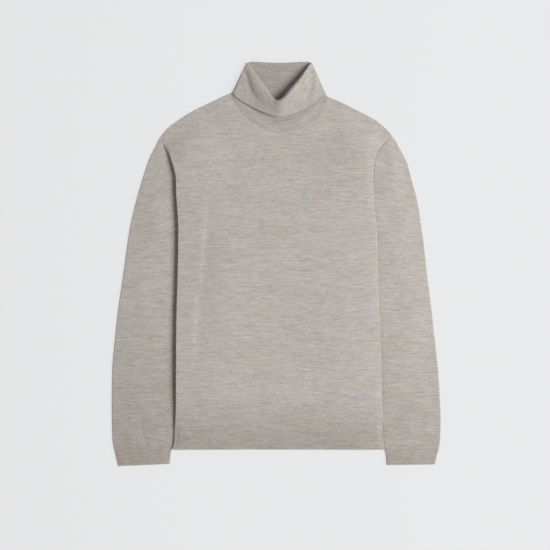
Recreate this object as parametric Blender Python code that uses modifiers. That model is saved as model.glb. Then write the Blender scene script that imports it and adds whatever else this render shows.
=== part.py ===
"""Roll-neck sweater, laid flat and face up, with its arms brought down beside the body.

Origin: middle of the outline, on the surface that it lies on. +X is the wearer's left, +Y runs from
the hem to the neck, +Z faces up out of the front. Every piece is a knitted wall. The body's sides and
the inner edges of the sleeves are tucked under the body, so four layers of body lie on two of sleeve
along each side. Sizes below are in millimetres, and the objects are made in metres.
"""

import math

import bpy
import numpy as np

MM = 0.001

# Cloth
WALL = 1.5  # thickness of the knit
AIR = 0.5  # space between layers that lie on each other
PITCH = WALL + AIR
SEAM = 0.4  # gap where two pieces are linked edge to edge
REST = WALL / 2  # height of the middle of a wall that lies on the surface
FRONT_TURN = 1.5 * PITCH  # radius at which the front rolls under at the sides
BACK_TURN = 0.5 * PITCH  # radius at which the back does, inside the front
BACK_INSET = 0.35  # how much further in the back's roll lies, as the armhole pulls it aslant
SLOPE = 60.0  # width over which the body comes down from its tucked sides
SLEEVE_CROWN = 1.6  # how far the upper side of a sleeve stands off the lower one
CROWNED_WIDTH = 60.0  # a narrower stretch has less of a crown
SLEEVE_REST = 0.03  # clears the surface where the underarm fold comes open

# Body: how the sides lie, a row for each height
# y: height; left, right: outer edge from the middle; wrap: cloth past the start of the side roll
# lift: how far the layers beneath raise the body; reach: how far in they do so
BODY_COLUMNS = ("y", "left", "right", "wrap", "lift", "reach")
BODY_ROWS = (
    (251.2, 215.7, 217.2, 0.0, 0.0, 10.0),
    (238.0, 215.4, 208.6, 0.0, 0.0, 10.0),
    (224.4, 214.6, 198.5, 0.0, 0.0, 10.0),
    (207.1, 206.4, 189.8, 2.0, 2.0, 10.0),
    (191.7, 201.0, 186.3, 4.7, 4.8, 12.0),
    (176.4, 195.6, 185.4, 7.5, 7.3, 17.0),
    (161.0, 192.3, 185.8, 10.5, 8.0, 22.0),
    (130.3, 190.9, 187.9, 14.0, 8.0, 30.0),
    (99.6, 189.4, 189.8, 25.0, 8.0, 42.0),
    (65.0, 188.1, 193.6, 42.0, 8.0, 56.0),
    (40.0, 188.1, 194.8, 67.5, 8.0, 66.0),
    (-23.3, 189.0, 195.9, 66.0, 8.0, 63.0),
    (-115.5, 191.7, 199.4, 60.0, 8.0, 57.0),
    (-207.6, 192.7, 202.4, 52.0, 8.0, 49.0),
    (-276.8, 193.0, 204.0, 46.5, 8.0, 43.0),
    (-306.3, 193.9, 205.3, 43.0, 5.9, 40.0),
    (-330.5, 194.2, 206.3, 40.5, 4.3, 37.0),
    (-345.9, 195.9, 207.1, 40.0, 4.0, 37.0),
    (-356.6, 199.0, 207.6, 40.0, 4.0, 37.0),
)
PANEL_TOP = 251.2  # height of the shoulder points
UNDERARM = 40.0  # and of the underarm points
RIB_TOP = -306.3  # where the hem rib is linked on
HEM = -356.6
PANEL_ROWS = (
    RIB_TOP, -280.0, -245.0, -180.0, -115.5, -50.0, 5.0, UNDERARM, 65.0, 99.6, 130.3,
    161.0, 168.7, 176.4, 184.0, 191.7, 199.4, 207.1, 224.4, 238.0, PANEL_TOP,
)
RIB_ROWS = (HEM, -345.9, -330.5, RIB_TOP - SEAM)

# Facets across a side, from the foot of its slope to its edge under the body
SLOPE_STEPS = np.linspace(1, 0, 7)
FLAT_STEPS = np.array([0.4, 0.75])
ROLL_STEPS = np.linspace(0, 1, 6)
STRIP_STEPS = np.array([0.5, 1.0])
BEND_SHARE = 5 / 7  # how much of the outermost stretch the roll's facets take
LEAST_SPAN, LEAST_BEND = 2.0, 1.6  # that stretch where little is rolled under: a width, and turns of roll

# Shoulder seams, from the armhole to the neck
SHOULDER_COLUMNS = ("x", "y")
SHOULDER_LEFT = (
    (215.7, 252.6), (209.8, 258.9), (196.1, 270.4), (162.1, 293.5), (113.8, 317.5), (89.1, 328.0)
)
SHOULDER_RIGHT = ((217.2, 252.6), (204.6, 264.7), (190.2, 276.2), (146.8, 299.2), (111.6, 316.7))

# Roll collar, rows from its left side (0) to its right side (1), for its front and its back
# base: where it is linked on; knee: where it stands clear of the shoulder; crest: the edge of the
# roll; free: its loose edge; roll: radius of the roll; fall: how fast the roll drops beside it
COLLAR_COLUMNS = (
    "p", "base_x", "base_y", "knee_x", "knee_y", "crest_x", "crest_y", "free_x", "free_y", "roll", "fall"
)
COLLAR_FRONT = (
    (0.00, -87.3, 326.3, -83.2, 329.0, -55.0, 385.0, -82.5, 330.5, 1.0, 1.0),
    (0.08, -81.5, 306.0, -74.0, 324.0, -50.0, 381.5, -77.0, 320.0, 2.6, 1.8),
    (0.20, -66.5, 284.5, -60.0, 305.0, -38.0, 364.5, -58.5, 307.5, 5.2, 2.4),
    (0.35, -38.0, 263.5, -33.5, 282.5, -18.5, 338.5, -28.5, 292.3, 7.8, 2.2),
    (0.50, 0.0, 252.6, 1.0, 268.0, 3.5, 315.2, 4.0, 283.2, 9.0, 1.4),
    (0.65, 42.0, 256.2, 37.5, 275.5, 22.5, 332.5, 36.0, 288.9, 8.0, 1.0),
    (0.80, 78.0, 275.0, 68.5, 294.5, 41.0, 354.0, 64.0, 302.6, 5.6, 1.0),
    (0.92, 101.5, 296.5, 87.5, 311.5, 56.0, 376.0, 84.0, 315.2, 2.8, 1.0),
    (1.00, 110.3, 314.5, 93.0, 322.3, 62.0, 385.0, 92.3, 324.0, 1.0, 1.0),
)
COLLAR_BACK = (
    (0.00, -87.3, 326.3, -83.2, 329.0, -55.0, 385.0, -82.5, 330.5, 1.0, 1.0),
    (0.10, -70.0, 321.0, -64.0, 333.0, -45.0, 388.65, -66.0, 333.0, 1.0, 1.0),
    (0.50, 10.0, 317.0, 7.0, 333.5, 4.0, 386.3, 5.0, 333.0, 1.0, 1.0),
    (0.90, 93.0, 315.0, 78.0, 331.0, 53.0, 388.65, 77.0, 330.5, 1.0, 1.0),
    (1.00, 110.3, 314.5, 93.0, 322.3, 62.0, 385.0, 92.3, 324.0, 1.0, 1.0),
)
SIDE_OUT = (0.9, 0.43)  # which way the collar's side folds face, above the knee
BASE_OUT_LEFT = (0.55, 0.83)  # and at the shoulder
BASE_OUT_RIGHT = (0.41, 0.91)
NECK_STEPS = 14  # facets across the front, and across the back, of the collar
STAND_RISE = 2.0 * BACK_TURN  # the turned-down layer lifts the collar by one layer
RISE_SHORT, RISE_LONG = 0.2, 0.9  # how much of the stand the rise takes, at the back and in the V
KNEE_SHARE = 0.25  # how much of the stand lies below the knee
NECK_SHARES, STAND_SHARES, FALL_SHARES = (0.0, 0.5, 1.0), (0.34, 0.67), (0.22, 0.45, 0.72, 1.0)

# Sleeves: outline beside the body and inner edge under it, from the middle, a row for each height
SLEEVE_COLUMNS = ("y", "left_out", "left_in", "right_out", "right_in")
SLEEVE_ROWS = (
    (246.5, 220.9, 216.0, 220.5, 214.9),
    (238.0, 226.4, 215.7, 228.9, 208.9),
    (224.4, 233.2, 214.9, 236.1, 198.8),
    (207.1, 242.0, 206.7, 245.3, 190.1),
    (191.7, 248.2, 201.3, 252.4, 186.6),
    (176.4, 253.2, 190.0, 256.8, 180.0),
    (161.0, 258.0, 180.0, 260.6, 173.0),
    (130.3, 267.0, 169.0, 269.1, 165.0),
    (99.6, 275.0, 156.0, 275.4, 155.0),
    (68.8, 281.6, 140.0, 279.5, 142.0),
    (40.0, 286.2, 126.0, 283.5, 131.0),
    (-23.3, 294.8, 134.0, 290.8, 139.5),
    (-84.8, 303.8, 148.5, 298.5, 154.0),
    (-146.2, 310.6, 163.5, 305.2, 170.0),
    (-207.6, 315.7, 178.0, 311.5, 186.0),
    (-261.4, 316.4, 190.5, 314.7, 200.0),
    (-300.0, 316.2, 197.0, 316.4, 207.2),
    (-330.5, 315.4, 198.4, 315.3, 208.1),
    (-345.9, 314.2, 200.6, 314.2, 208.9),
)

# Cuff ribs, rows from the sleeve to the free edge
CUFF_COLUMNS = ("y_out", "x_out", "y_in", "x_in")
CUFF_ROWS = {
    "left": ((-351.1, 313.0, -351.1, 201.4), (-368.0, 309.2, -366.5, 203.2), (-388.55, 304.4, -384.1, 204.2)),
    "right": ((-353.7, 312.5, -353.7, 209.4), (-369.0, 308.6, -369.5, 210.8), (-385.1, 304.8, -386.4, 211.9)),
}

OUTER_BEND = np.linspace(0.0, math.pi, 6)  # facets round the fold at a sleeve's outer edge
INNER_BEND = np.linspace(math.pi / 2, 0.0, 3)  # and round half of the fold at its inner edge
SLEEVE_SPREAD = (0.12, 0.28, 0.45, 0.62, 0.78)  # facets across a sleeve, as shares of its width
INNER_SPREAD = (1.0, 0.94, 0.88)  # where the inner fold's facets lie while the armhole is open

KNIT = (0.44, 0.39, 0.345, 1.0)
RIB = (0.37, 0.325, 0.285, 1.0)


def column(rows, columns, name):
    """One named column of a table, as an array."""
    return np.array([row[columns.index(name)] for row in rows], float)


def smooth_curve(at, values):
    """A function for the smooth curve through the points, which never overshoots between two of them."""
    order = np.argsort(at)
    at, values = np.asarray(at, float)[order], np.asarray(values, float)[order]
    span = np.diff(at)
    rise = np.diff(values) / span
    product = rise[:-1] * rise[1:]
    total = np.where(product > 0, rise[:-1] + rise[1:], 1.0)
    slope = np.concatenate([rise[:1], np.where(product > 0, 2 * product / total, 0.0), rise[-1:]])

    def curve(x):
        x = np.clip(x, at[0], at[-1])
        i = np.clip(np.searchsorted(at, x) - 1, 0, len(span) - 1)
        t = (x - at[i]) / span[i]
        start = (1 + 2 * t) * (1 - t) ** 2 * values[i] + t * (1 - t) ** 2 * span[i] * slope[i]
        return start + t**2 * (3 - 2 * t) * values[i + 1] + t**2 * (t - 1) * span[i] * slope[i + 1]

    return curve


def curves(rows, columns):
    """Every column of a table as a smooth function of its first one."""
    first = column(rows, columns, columns[0])
    return {name: smooth_curve(first, column(rows, columns, name)) for name in columns[1:]}


def ease(t):
    """0 to 1, level at both ends."""
    t = np.clip(t, 0.0, 1.0)
    return t * t * (3 - 2 * t)


def unit(vectors):
    return vectors / np.linalg.norm(vectors, axis=-1, keepdims=True)


# ---------------------------------------------------------------- making walls

SWEATER = "roll_neck_sweater"
for old in list(bpy.data.objects):
    bpy.data.objects.remove(old, do_unlink=True)
collection = bpy.data.collections.new(SWEATER)
bpy.context.scene.collection.children.link(collection)
garment = bpy.data.objects.new(SWEATER + "_origin", None)
collection.objects.link(garment)


def knit_material(name, colour):
    """A matt wool finish."""
    material = bpy.data.materials.new(name)
    material.use_nodes = True
    shader = material.node_tree.nodes["Principled BSDF"]
    shader.inputs["Base Color"].default_value = colour
    shader.inputs["Roughness"].default_value = 0.92
    shader.inputs["Metallic"].default_value = 0.0
    return material


def wall(name, points, colour, closed_round=False, closed_rows=None):
    """A knitted wall on a grid of points (rows, columns, xyz) in millimetres.

    closed_round joins the last column to the first. closed_rows says, row by row, where the last
    column is the same as the first, as at an underarm seam that ends in an open armhole.
    """
    rows, columns = points.shape[:2]
    index = np.arange(rows * columns).reshape(rows, columns)
    if closed_rows is not None:
        index[closed_rows, -1] = index[closed_rows, 0]
    if closed_round:
        index = np.concatenate([index, index[:, :1]], axis=1)
    faces = np.stack([index[:-1, :-1], index[:-1, 1:], index[1:, 1:], index[1:, :-1]], axis=-1).reshape(-1, 4)
    used, faces = np.unique(faces, return_inverse=True)
    mesh = bpy.data.meshes.new(name)
    mesh.from_pydata((points.reshape(-1, 3)[used] * MM).tolist(), [], faces.reshape(-1, 4).tolist())
    mesh.update()
    mesh.shade_smooth()
    mesh.materials.append(knit_material(name, colour))
    piece = bpy.data.objects.new(name, mesh)
    collection.objects.link(piece)
    piece.parent = garment
    thick = piece.modifiers.new("knit thickness", "SOLIDIFY")
    thick.thickness = WALL * MM
    thick.offset = 0.0
    thick.use_even_offset = True
    return piece


# ---------------------------------------------------------------- body

body = curves(BODY_ROWS, BODY_COLUMNS)


def top_width(side):
    """How far from the middle the raised edge begins on the top row of a panel."""
    return body[side](PANEL_TOP) - body["reach"](PANEL_TOP) - SLOPE


def half_body(side, y, turn, neck):
    """Where one half of a body panel's columns lie: distance from the middle, distance past the
    start of the side roll, and height. neck gives the columns' places on the top row as far as the
    shoulder, and they keep their share of the width in the rows below.
    """
    edge, reach = body[side](y)[:, None], body["reach"](y)[:, None]
    angle = body["wrap"](y)[:, None] / FRONT_TURN
    strip = np.maximum(angle - math.pi, 0.0) * FRONT_TURN
    wrap = np.minimum(angle, math.pi) * turn + strip
    start = edge - (FRONT_TURN + WALL / 2) * np.sin(np.minimum(angle, math.pi / 2))
    if turn < FRONT_TURN:
        start = start - BACK_INSET
    span = np.maximum(wrap, LEAST_SPAN + LEAST_BEND * turn)
    bend = np.minimum(span * BEND_SHARE, math.pi * turn)
    rolled = wrap - span + np.concatenate([bend * ROLL_STEPS, bend + (span - bend) * STRIP_STEPS], axis=1)
    inner = edge - reach
    flat = inner + (start + rolled[:, :1] - inner) * FLAT_STEPS
    foot = inner - SLOPE * SLOPE_STEPS
    middle = neck / top_width(side) * foot[:, :1]
    across = np.concatenate([middle, foot, flat, start + rolled], axis=1)
    lift = body["lift"](y)[:, None] * ease((across - inner) / SLOPE + 1)
    return across, across - start, lift, start


def body_panel(y, turn, layer, neck_x, neck_y, raised):
    """A body panel as a grid of points, from its lower edge up.

    The rows are level at the hem and take the shape of the shoulders and neckline at the top. Past
    the side's edge the cloth rolls round at radius turn and runs back under the body.
    """
    share = raised * ease((y - UNDERARM) / (PANEL_TOP - UNDERARM))[:, None]
    halves = []
    for side, sign, slope in (("left", -1.0, SHOULDER_LEFT), ("right", 1.0, SHOULDER_RIGHT)):
        reached = [x * sign for x in neck_x if x * sign > 0]
        inside = np.sort(np.array(reached))
        beyond = (inside[-1] + top_width(side)) / 2
        across, past, lift, start = half_body(side, y, turn, np.append(inside, beyond))
        shoulder = smooth_curve(column(slope, SHOULDER_COLUMNS, "x"), column(slope, SHOULDER_COLUMNS, "y"))
        order = np.argsort([x * sign for x in neck_x])
        in_neck = np.array(neck_y)[order][-len(inside):]
        top_row = half_body(side, np.array([PANEL_TOP]), turn, np.append(inside, beyond))[0][0]
        top_y = np.concatenate([in_neck, shoulder(top_row[len(inside):])])
        angle = np.clip(past / turn, 0.0, math.pi)
        under = np.maximum(past - math.pi * turn, 0.0)
        x = np.where(past > 0, start + turn * np.sin(angle) - under, across)
        z = REST + layer * PITCH + lift - turn * (1 - np.cos(angle))
        rows = y[:, None] + (top_y - PANEL_TOP) * share
        half = np.stack([sign * x, rows, z], axis=-1)
        halves.append(half[:, ::-1] if sign < 0 else half)
    return np.concatenate(halves, axis=1)


# ---------------------------------------------------------------- roll collar

collar_front = curves(COLLAR_FRONT, COLLAR_COLUMNS)
collar_back = curves(COLLAR_BACK, COLLAR_COLUMNS)
across_neck = np.linspace(0, 1, NECK_STEPS + 1)
quarter = np.linspace(0, math.pi, 5)[1:-1]  # facets round each side fold of the collar


def rail(table, p, name):
    return np.stack([table[name + "_x"](p), table[name + "_y"](p)], axis=-1)


def collar_surface():
    """The collar as a grid: round the neck, and from its base up the stand, over and down again.

    Seen from above its front and back halves lie on each other, so each ring is a flattened loop:
    a place in plan, moved up or down by half of the loop's thickness, and outward at its ends.
    """
    p = np.concatenate([across_neck, np.ones(3), across_neck[::-1], np.zeros(3)])
    front = np.concatenate([np.ones(NECK_STEPS + 4), np.zeros(NECK_STEPS + 4)]) > 0
    flat = np.ones(NECK_STEPS + 1)
    up = np.concatenate([flat, np.cos(quarter), -flat, -np.cos(quarter)])
    side = np.concatenate([0 * flat, np.sin(quarter), 0 * flat, -np.sin(quarter)])
    tables = (collar_front, collar_back)

    def both(values):
        return np.where(front.reshape((-1,) + (1,) * (values[0].ndim - 1)), values[0], values[1])

    base, knee, crest, free = (
        both([rail(table, p, name) for table in tables])
        for name in ("base", "knee", "crest", "free")
    )
    roll, fall = (both([table[name](p) for table in tables]) for name in ("roll", "fall"))
    into, out = unit(crest - knee), unit(crest - free)
    ramp = RISE_SHORT + (RISE_LONG - RISE_SHORT) * np.where(front, np.sin(math.pi * p) ** 2, 0.0)
    rings = []

    side_out = np.tile(SIDE_OUT, (len(p), 1))

    def ring(plan, half, centre, outward=side_out):
        rings.append(
            np.stack(
                [
                    plan[:, 0] + side * half * outward[:, 0],
                    plan[:, 1] + np.abs(side) * half * outward[:, 1],
                    centre + up * half,
                ],
                axis=-1,
            )
        )

    standing = np.full(len(p), BACK_TURN)
    base_out = np.where(p[:, None] < 0.5, BASE_OUT_LEFT, BASE_OUT_RIGHT)
    for share in NECK_SHARES:
        outward = base_out * (1 - share) + side_out * share
        centre = REST + BACK_TURN + STAND_RISE * ease(KNEE_SHARE * share / ramp)
        ring(base + (knee - base) * share, standing, centre, outward)
    top = crest - into * (WALL / 2 + roll)[:, None]
    for share in STAND_SHARES:
        centre = REST + BACK_TURN + STAND_RISE * ease((KNEE_SHARE + (1 - KNEE_SHARE) * share) / ramp)
        ring(knee + (top - knee) * share, standing, centre)
    centre = REST + BACK_TURN + STAND_RISE
    for turn in np.linspace(0, math.pi, 6):
        way = unit(into + (out - into) * turn / math.pi)
        plan = crest - way * (WALL / 2 + roll * (1 - math.sin(turn)))[:, None]
        ring(plan, BACK_TURN + roll * (1 - math.cos(turn)), centre)
    top = crest - out * (WALL / 2 + roll)[:, None]
    for share in FALL_SHARES:
        drop = 3 * BACK_TURN + 2 * (roll - BACK_TURN) * (1 - share) ** fall
        ring(top + (free - top) * share, drop, centre)
    return np.array(rings)


def neckline(table):
    """The edge that the collar is linked to, a seam's gap outside the collar's base.

    The gap is twice as wide at the shoulders, where the collar folds round from front to back.
    """
    base = rail(table, across_neck, "base")
    along = unit(np.gradient(base, axis=0))
    gap = SEAM * (1 + (2 * across_neck[:, None] - 1) ** 4)
    edge = base + np.stack([along[:, 1], -along[:, 0]], axis=-1) * gap
    corners = []
    for end, outward in ((0, (-BASE_OUT_LEFT[0], BASE_OUT_LEFT[1])), (-1, BASE_OUT_RIGHT)):
        corners.append(edge[end] + np.array(outward) * (BACK_TURN + WALL / 2 + SEAM))
    return np.concatenate([[corners[0]], edge, [corners[1]]])


# ---------------------------------------------------------------- sleeves and cuffs

def flat_tube(width, seen, opened):
    """Sections of a flattened tube: distances in from its outer edge, and heights.

    Each section starts in the middle of the inner fold, runs over the upper layer, round the outer
    fold and back. Where opened is 1 the inner fold is laid open as two flat edges.
    """
    turn, rows = BACK_TURN, len(width)
    width, opened = width[:, None], opened[:, None]
    edge = turn + WALL / 2
    fold = width - edge + turn * np.sin(INNER_BEND)
    laid = edge + (width - edge) * np.array(INNER_SPREAD)
    fold_in = fold + (laid - fold) * opened
    fold_drop = turn * (1 - np.cos(INNER_BEND)) * (1 - opened)
    spread = edge + (width - edge * (2 - opened)) * np.array(SLEEVE_SPREAD[::-1])
    fold_out = np.tile(edge - turn * np.sin(OUTER_BEND), (rows, 1))
    fold_height = np.tile(turn * np.cos(OUTER_BEND), (rows, 1))
    hump = np.sin(math.pi * np.clip((spread - edge) / (seen[:, None] - edge), 0, 1)) ** 2
    crown = SLEEVE_CROWN * np.minimum(seen / CROWNED_WIDTH, 1)[:, None] * hump
    across = np.concatenate([fold_in, spread, fold_out, spread[:, ::-1], fold_in[:, ::-1]], axis=1)
    under = np.full_like(spread, -turn)
    height = np.concatenate(
        [turn - fold_drop, turn + crown, fold_height, under, fold_drop[:, ::-1] - turn], axis=1
    )
    return across, REST + SLEEVE_REST + turn + height


def sleeve_surface(side, sign):
    """A sleeve from the top of its cap to its cuff, closed below the underarm."""
    cuff_top = dict(zip(CUFF_COLUMNS, CUFF_ROWS[side][0]))
    y = np.append(column(SLEEVE_ROWS, SLEEVE_COLUMNS, "y"), cuff_top["y_out"] + SEAM)
    outer = np.append(column(SLEEVE_ROWS, SLEEVE_COLUMNS, side + "_out"), cuff_top["x_out"])
    inner = np.append(column(SLEEVE_ROWS, SLEEVE_COLUMNS, side + "_in"), cuff_top["x_in"])
    seen = outer - np.maximum(inner, body[side](y))
    opened = (y > UNDERARM + 1).astype(float)
    across, height = flat_tube(outer - inner, seen, opened)
    x = outer[:, None] - across
    return np.stack([sign * x, y[:, None] + 0 * x, height], axis=-1), opened == 0


def cuff_surface(side, sign):
    """A short tube of rib, whose free edge may lie a little aslant."""
    rows, columns = CUFF_ROWS[side], CUFF_COLUMNS
    y_out, x_out, y_in, x_in = (column(rows, columns, name)[:, None] for name in columns)
    width = (x_out - x_in)[:, 0]
    across, height = flat_tube(width, width, np.zeros(len(rows)))
    share = across / width[:, None]
    return np.stack([sign * (x_out - across), y_out + (y_in - y_out) * share, height], axis=-1)


# ---------------------------------------------------------------- the garment

panel_rows, rib_rows = np.array(PANEL_ROWS), np.array(RIB_ROWS)
for name, turn, layer, table in (
    ("front", FRONT_TURN, 1, collar_front),
    ("back", BACK_TURN, 0, collar_back),
):
    edge = neckline(table)
    wall(name + "_panel", body_panel(panel_rows, turn, layer, edge[:, 0], edge[:, 1], 1.0), KNIT)
    wall("hem_rib_" + name, body_panel(rib_rows, turn, layer, edge[:, 0], edge[:, 1], 0.0), RIB)

for side, sign in (("left", -1.0), ("right", 1.0)):
    points, closed_rows = sleeve_surface(side, sign)
    wall("sleeve_" + side, points, KNIT, closed_rows=closed_rows)
    cuff = cuff_surface(side, sign)
    wall("cuff_rib_" + side, cuff, RIB, closed_rows=np.ones(len(cuff), bool))

wall("roll_collar", collar_surface(), KNIT, closed_round=True)
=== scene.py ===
import math

import bpy
import numpy as np
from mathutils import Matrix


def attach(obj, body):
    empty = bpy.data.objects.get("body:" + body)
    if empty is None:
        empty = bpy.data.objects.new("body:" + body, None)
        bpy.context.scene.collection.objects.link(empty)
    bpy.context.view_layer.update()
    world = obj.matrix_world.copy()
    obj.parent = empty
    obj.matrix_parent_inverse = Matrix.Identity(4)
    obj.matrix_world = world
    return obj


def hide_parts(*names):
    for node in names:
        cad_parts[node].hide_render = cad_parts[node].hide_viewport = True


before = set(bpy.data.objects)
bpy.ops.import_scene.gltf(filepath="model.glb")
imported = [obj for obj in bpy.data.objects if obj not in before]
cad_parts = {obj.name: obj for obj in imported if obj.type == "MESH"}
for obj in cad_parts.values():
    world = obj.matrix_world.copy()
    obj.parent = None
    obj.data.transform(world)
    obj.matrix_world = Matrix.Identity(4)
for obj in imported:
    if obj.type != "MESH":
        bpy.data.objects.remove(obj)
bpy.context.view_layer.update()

# ------------------------ front and back panels
# Two pieces of fine plain-knit wool, side seam to side seam. Laid flat, the front rolls under at each
# side and runs back beneath the body with the back inside it, on top of the sleeves' inner edges.
# The sizes are in millimetres, y up the body from the middle of the outline.

MM = 0.001
KNIT = 1.2  # thickness of the cloth
HALF = 0.75  # half of the room that each layer has
PITCH = 2.0  # from layer to layer
FRONT_TURN, BACK_TURN, BACK_INSET = 3.0, 1.0, 0.35

# wrap: cloth past the start of the side's roll; lift: what lies beneath the side; loft: air beneath the
# middle of the front; reach: how far in the lift does; slope: how wide the change between them is
BODY_COLUMNS = ("y", "left", "right", "wrap", "lift", "loft", "reach", "slope")
BODY_ROWS = (
    (251.2, 215.7, 217.2, 0.0, 0.0, 0.0, 10.0, 84.0),
    (238.0, 215.4, 208.6, 0.0, 0.0, 0.3, 10.0, 85.0),
    (228.0, 214.9, 201.0, 0.3, 0.1, 0.9, 10.0, 86.0),
    (218.0, 211.9, 194.6, 3.4, 1.9, 1.8, 10.0, 88.0),
    (207.1, 206.4, 189.8, 6.7, 4.6, 3.0, 10.0, 90.0),
    (191.7, 201.2, 186.1, 9.2, 7.4, 4.5, 12.0, 94.0),
    (176.4, 196.2, 184.8, 10.4, 8.8, 5.6, 17.0, 98.0),
    (161.0, 193.3, 184.8, 11.6, 9.0, 6.3, 22.0, 101.0),
    (130.3, 192.5, 186.3, 14.0, 9.0, 6.8, 30.0, 104.0),
    (99.6, 190.2, 188.2, 25.0, 9.0, 7.0, 42.0, 108.0),
    (65.0, 188.7, 192.0, 42.0, 9.0, 7.0, 56.0, 110.0),
    (40.0, 188.7, 193.2, 67.5, 9.0, 7.0, 66.0, 112.0),
    (-23.3, 190.0, 194.3, 66.0, 9.0, 7.0, 63.0, 114.0),
    (-115.5, 192.4, 197.8, 60.0, 9.0, 7.0, 57.0, 118.0),
    (-207.6, 193.0, 200.8, 52.0, 9.0, 6.8, 49.0, 122.0),
    (-276.8, 193.4, 202.4, 46.5, 7.0, 5.0, 43.0, 126.0),
    (-306.3, 194.8, 203.7, 43.0, 4.9, 3.0, 40.0, 126.0),
    (-330.5, 195.2, 205.3, 40.5, 4.1, 1.4, 37.0, 126.0),
    (-345.9, 196.9, 206.1, 40.0, 4.0, 0.4, 37.0, 126.0),
    (-356.6, 200.0, 206.6, 40.0, 4.0, 0.0, 37.0, 126.0),
)
PANEL_TOP, UNDERARM, RIB_TOP, HEM = 251.2, 40.0, -306.3, -356.6
SHOULDER_LEFT = (
    (215.7, 252.4), (209.8, 258.2), (196.1, 269.0), (162.1, 291.3), (113.8, 314.8), (89.1, 327.0)
)
SHOULDER_RIGHT = ((217.2, 252.4), (204.6, 264.0), (190.2, 275.0), (146.8, 298.0), (111.6, 315.8))

# Where the collar is linked on: its rows run round the neck, 0 at the left shoulder to 1 at the right.
# base: the linking; knee: where the collar leaves the shoulder; crest: the edge of the roll;
# free: the loose edge; roll: the roll's radius; gape: how far the neck stands open beneath the roll;
# edge: how far the loose edge stands off
COLLAR_COLUMNS = (
    "p", "base_x", "base_y", "knee_x", "knee_y", "crest_x", "crest_y", "free_x", "free_y", "roll", "gape",
    "edge",
)
COLLAR_FRONT = (
    (0.00, -87.3, 326.3, -83.2, 329.0, -55.4, 385.6, -83.0, 328.5, 1.0, 0.0, 0.0),
    (0.08, -81.5, 306.0, -74.0, 324.0, -52.0, 383.5, -77.0, 320.0, 1.1, 0.0, 0.2),
    (0.20, -66.5, 284.5, -60.0, 305.0, -39.8, 364.5, -58.5, 307.5, 1.3, 0.2, 0.7),
    (0.35, -38.0, 263.5, -33.5, 282.5, -20.3, 338.5, -28.5, 292.3, 2.6, 2.0, 1.9),
    (0.46, -10.5, 254.0, -8.0, 270.8, -4.4, 316.4, -4.8, 284.6, 3.6, 3.4, 2.8),
    (0.50, 0.0, 252.6, 1.0, 268.0, 1.6, 313.4, 4.0, 283.2, 4.5, 4.2, 2.9),
    (0.56, 17.0, 252.9, 15.8, 269.7, 11.2, 318.0, 16.5, 284.4, 5.8, 5.0, 2.5),
    (0.65, 42.0, 256.2, 37.5, 275.5, 23.2, 331.8, 36.0, 288.9, 6.2, 5.1, 1.5),
    (0.80, 78.0, 275.0, 68.5, 294.5, 42.5, 354.0, 64.0, 302.6, 4.9, 3.8, 0.8),
    (0.92, 101.5, 296.5, 87.5, 311.5, 57.5, 375.0, 85.0, 315.2, 3.3, 2.1, 0.5),
    (1.00, 110.3, 314.5, 93.0, 322.3, 66.0, 386.0, 94.5, 323.0, 1.0, 0.0, 0.0),
)
COLLAR_BACK = (
    COLLAR_FRONT[0],
    (0.10, -70.0, 321.0, -64.0, 333.0, -48.0, 388.6, -66.0, 333.0, 1.0, 0.0, 0.0),
    (0.50, 10.0, 317.0, 7.0, 333.5, 4.5, 386.3, 5.0, 333.0, 1.0, 0.0, 0.0),
    (0.90, 93.0, 315.0, 78.0, 331.0, 58.5, 388.6, 77.0, 330.5, 1.0, 0.0, 0.0),
    COLLAR_FRONT[-1],
)
ROUND_NECK = np.linspace(0, 1, 61)  # places at which the panels have a column

# Soft ridges and troughs that the front lies in, each a path: x, y, height, half width
PANEL_CREASES = (
    ((150, 150, 0.0, 20), (160, 190, 0.4, 18), (172, 214, 0.5, 14), (188, 228, 0.0, 12)),
    ((-185, 236, 0.0, 16), (-160, 205, 0.4, 20), (-128, 182, 0.3, 24), (-100, 168, 0.0, 26)),
    ((-60, 246, 0.0, 22), (-20, 232, 0.3, 20), (30, 230, 0.3, 20), (80, 248, 0.0, 22)),
    ((-70, -230, 0.0, 30), (-20, -180, 0.3, 34), (52, -150, 0.3, 36), (120, -165, 0.0, 30)),
    ((60, -290, 0.0, 22), (104, -268, 0.3, 20), (150, -262, 0.0, 20)),
)
# A line where the front was pressed over the cloth beneath: low on its right, which slopes back slowly
PRESS_LINE = (
    (-128, 130, 0.0, 7), (-131, 94, -0.9, 7), (-133, 46, -1.3, 7), (-137, 4, -1.3, 7),
    (-140, -31, -0.7, 7), (-146, -69, -1.2, 7), (-148, -108, -1.3, 7), (-151, -156, -0.8, 7),
    (-153, -194, 0.0, 7),
)
PRESS_SKEW = 2.8
UNEVEN = 0.14  # height of the front's slow unevenness
RELIEF_FADE = 8.0  # width over which creases die away beside the turn
EDGE_FALL, FALL_WIDTH = 0.42, 12.0  # how far the right side comes down before its turn, and how widely
FALL_TOP, FALL_FULL = 235.0, 195.0  # not at all above the first height, and in full below the second
SQUARE = 0.12  # power of the sine that the turn's upper half follows, where 1 is a quarter circle


def column(rows, columns, name):
    """One named column of a table, as an array."""
    return np.array([row[columns.index(name)] for row in rows], float)


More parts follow.
